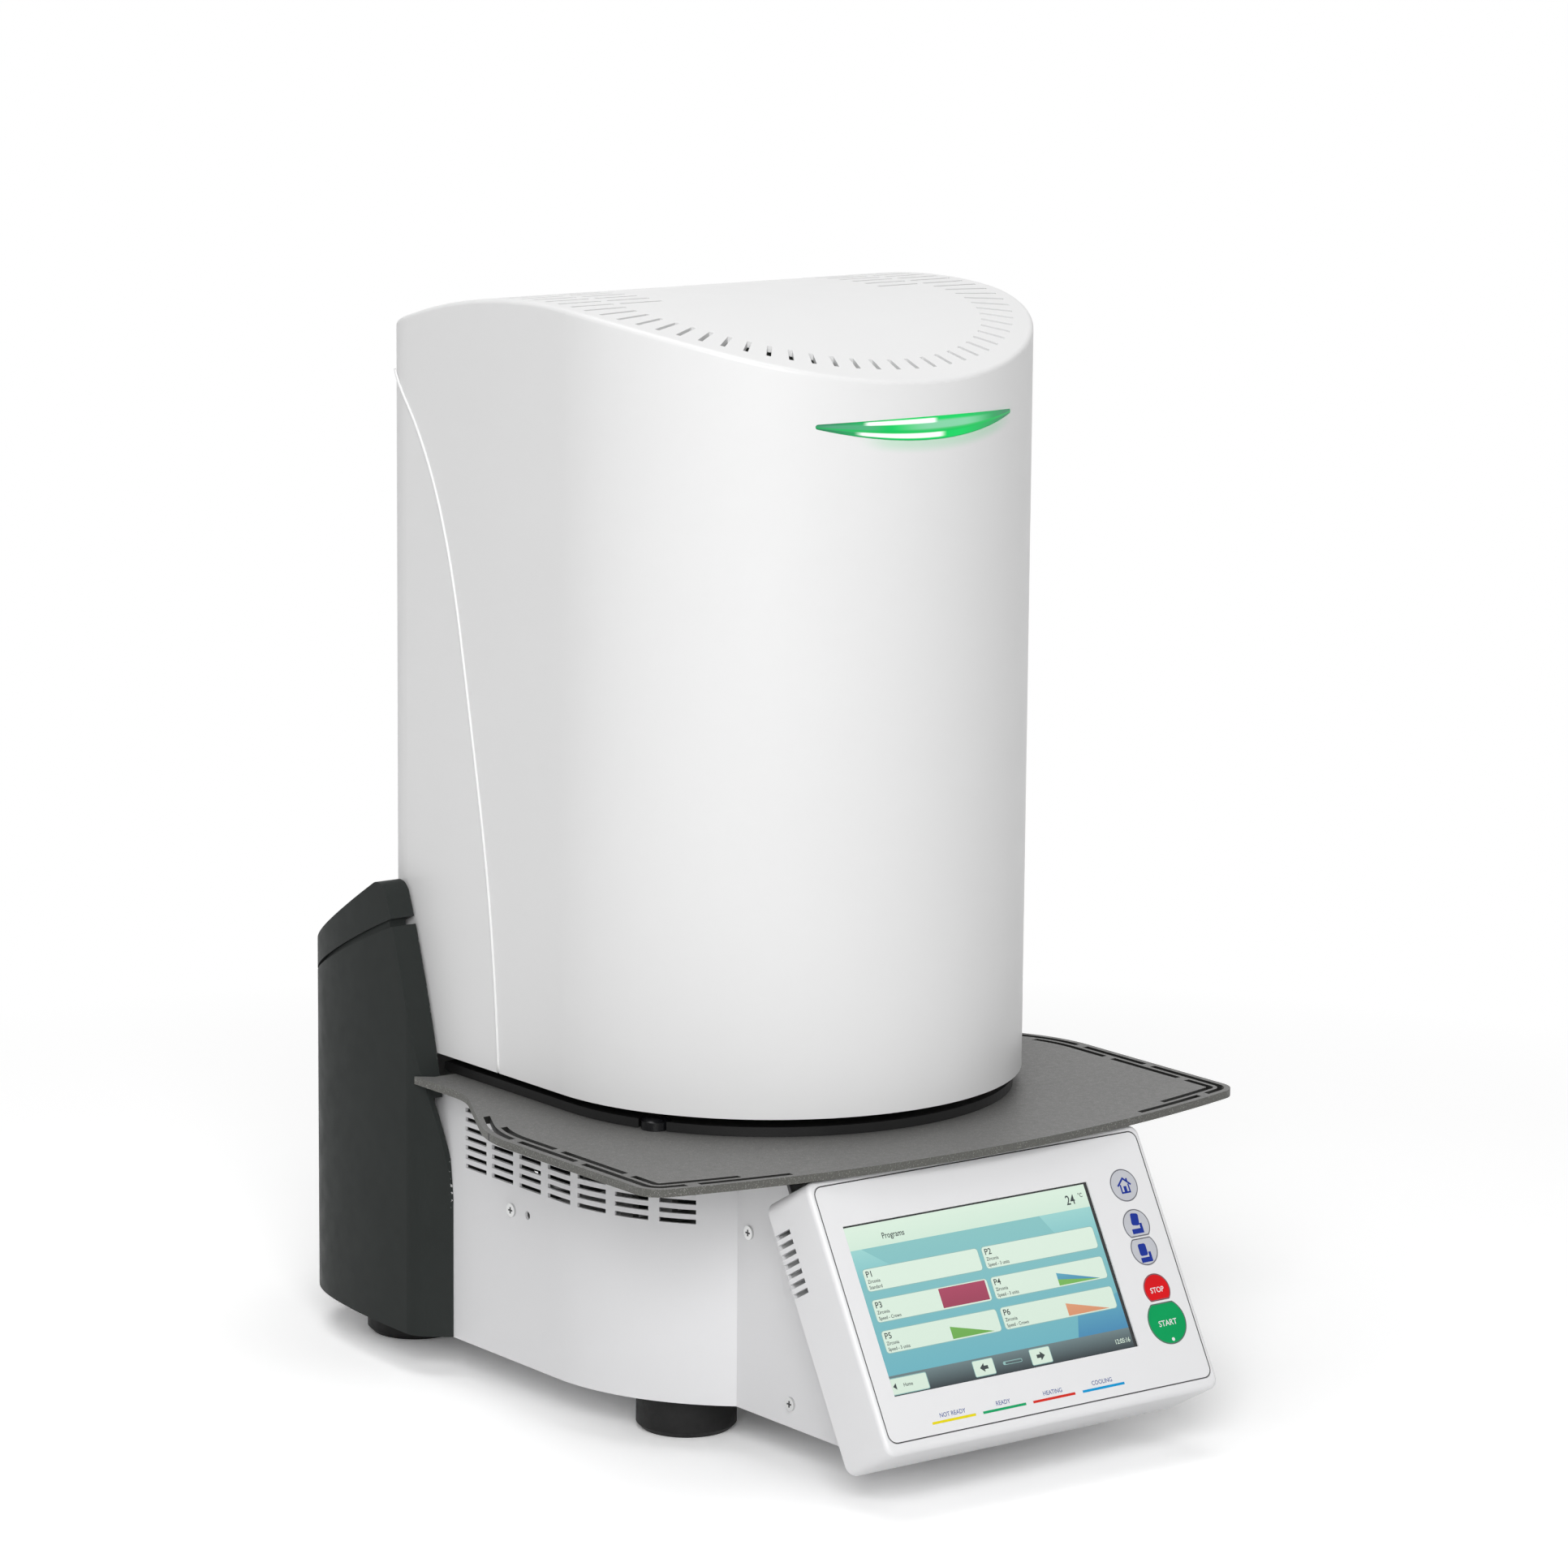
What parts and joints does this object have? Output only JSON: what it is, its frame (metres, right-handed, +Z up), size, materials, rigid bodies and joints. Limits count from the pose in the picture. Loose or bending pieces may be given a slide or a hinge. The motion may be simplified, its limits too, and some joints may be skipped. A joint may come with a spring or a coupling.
{
  "type": "dental lab furnace",
  "caption": "Benchtop dental firing furnace: insulated head that tilts open on a rear hinge, cooling tray over a vented base, and a tilted console with a screen and keys.",
  "frame": {"origin": "on the surface the feet stand on, under the centre of the whole machine's plan box", "axes": "+Z up, -Y towards the console and the user, +X to the user's right"},
  "size_m": [0.3784, 0.5129, 0.5757],
  "materials": {
    "hood_white": "satin white finish",
    "status_lens": "frosted translucent light cover",
    "light_bar": "white light guide",
    "inner_steel": "plain sheet metal",
    "insulation": "stands for pressed ceramic fibre",
    "heating_element": "dark glazed heating rod",
    "ceramic_white": "stands for white fired ceramic",
    "bright_steel": "bright steel",
    "gear_steel": "cut steel",
    "bronze": "sintered bearing bronze",
    "motor_black": "black painted motor body",
    "base_white": "white fine powder coat",
    "seal_dark": "dark heat-resistant seal",
    "tray_dark": "dark grey coarse powder coat",
    "knob_black": "black moulded knob",
    "housing_grey": "dark grey-green satin moulding",
    "socket_black": "black moulded insulator",
    "bezel_white": "white satin moulding",
    "membrane": "white printed polyester foil",
    "display_glass": "dark glass over the display",
    "board_green": "green circuit board",
    "key_grey": "light grey key with a printed symbol",
    "key_red": "red stop key",
    "key_green": "green start key",
    "rubber": "black rubber"
  },
  "bodies": {
    "base": {"base_plate": "base_white", "base_shell": "base_white", "bezel": "bezel_white", "console_box": "base_white", "control_board": "board_green", "cooling_tray": "tray_dark", "display_glass": "display_glass", "display_module": "inner_steel", "drive_motor": "motor_black", "drive_mount": "inner_steel", "fan_frame": "socket_black", "firing_table": "insulation", "foot_front_left": "rubber", "foot_front_right": "rubber", "foot_rear_left": "rubber", "foot_rear_right": "rubber", "fuse_holders": "socket_black", "hinge_bracket_left": "inner_steel", "hinge_bracket_right": "inner_steel", "hinge_bushing_left": "bronze", "hinge_bushing_right": "bronze", "housing_cap": "housing_grey", "key_board": "board_green", "membrane_panel": "membrane", "power_inlet": "socket_black", "power_supply": "inner_steel", "power_switch": "socket_black", "rear_housing": "housing_grey", "rear_panel": "inner_steel", "seal_ring": "seal_dark", "side_screws": "bright_steel", "sinter_tray": "ceramic_white", "table_plate": "inner_steel"},
    "head": {"hood_shell": "hood_white", "hood_rear_cover": "hood_white", "status_lens": "status_lens", "status_light_bar": "light_bar", "head_plate": "inner_steel", "insulation_jacket": "inner_steel", "insulation_body": "insulation", "insulation_lid": "insulation", "heating_elements": "heating_element", "element_holders": "ceramic_white", "thermocouple": "ceramic_white", "hinge_shaft": "bright_steel", "hinge_arm_left": "inner_steel", "hinge_arm_right": "inner_steel", "sector_gear": "gear_steel"},
    "pinion": {"drive_pinion": "gear_steel"},
    "fan": {"fan_rotor": "socket_black"},
    "rocker": {"switch_rocker": "socket_black"},
    "knob_left": {"tray_knob_left": "knob_black"},
    "knob_right": {"tray_knob_right": "knob_black"},
    "key_home_body": {"key_home": "key_grey"},
    "key_open_head_body": {"key_open_head": "key_grey"},
    "key_close_head_body": {"key_close_head": "key_grey"},
    "key_stop_body": {"key_stop": "key_red"},
    "key_start_body": {"key_start": "key_green"}
  },
  "joints": [
    {"name": "head_hinge", "type": "hinge", "parent": "base", "child": "head", "pos_m": [0, 0.14, 0.21], "axis": [-1, 0, 0], "range_deg": [0, 60]},
    {"name": "pinion_spin", "type": "hinge", "parent": "base", "child": "pinion", "pos_m": [0, 0.14, 0.134], "axis": [-1, 0, 0], "range_deg": [-225, 0]},
    {"name": "fan_spin", "type": "hinge", "parent": "base", "child": "fan", "pos_m": [0.04, 0.225, 0.086], "axis": [0, 1, 0], "continuous": true},
    {"name": "rocker_tilt", "type": "hinge", "parent": "base", "child": "rocker", "pos_m": [-0.05, 0.239, 0.104], "axis": [-1, 0, 0], "range_deg": [0, 16]},
    {"name": "knob_left_turn", "type": "hinge", "parent": "base", "child": "knob_left", "pos_m": [-0.112, -0.07, 0.163], "axis": [0, 0, 1], "range_deg": [0, 90]},
    {"name": "knob_right_turn", "type": "hinge", "parent": "base", "child": "knob_right", "pos_m": [0.112, -0.07, 0.163], "axis": [0, 0, -1], "range_deg": [0, 90]},
    {"name": "key_home_press", "type": "slide", "parent": "base", "child": "key_home_body", "axis": [0, 0.8712, -0.4909], "range_m": [0, 0.0005], "stiffness_N_per_m": 400},
    {"name": "key_open_head_press", "type": "slide", "parent": "base", "child": "key_open_head_body", "axis": [0, 0.8712, -0.4909], "range_m": [0, 0.0005], "stiffness_N_per_m": 400},
    {"name": "key_close_head_press", "type": "slide", "parent": "base", "child": "key_close_head_body", "axis": [0, 0.8712, -0.4909], "range_m": [0, 0.0005], "stiffness_N_per_m": 400},
    {"name": "key_stop_press", "type": "slide", "parent": "base", "child": "key_stop_body", "axis": [0, 0.8712, -0.4909], "range_m": [0, 0.0005], "stiffness_N_per_m": 400},
    {"name": "key_start_press", "type": "slide", "parent": "base", "child": "key_start_body", "axis": [0, 0.8712, -0.4909], "range_m": [0, 0.0005], "stiffness_N_per_m": 400}
  ],
  "couplings": [
    {"joint": "pinion_spin", "follows": "head_hinge", "ratio": -3.75}
  ]
}
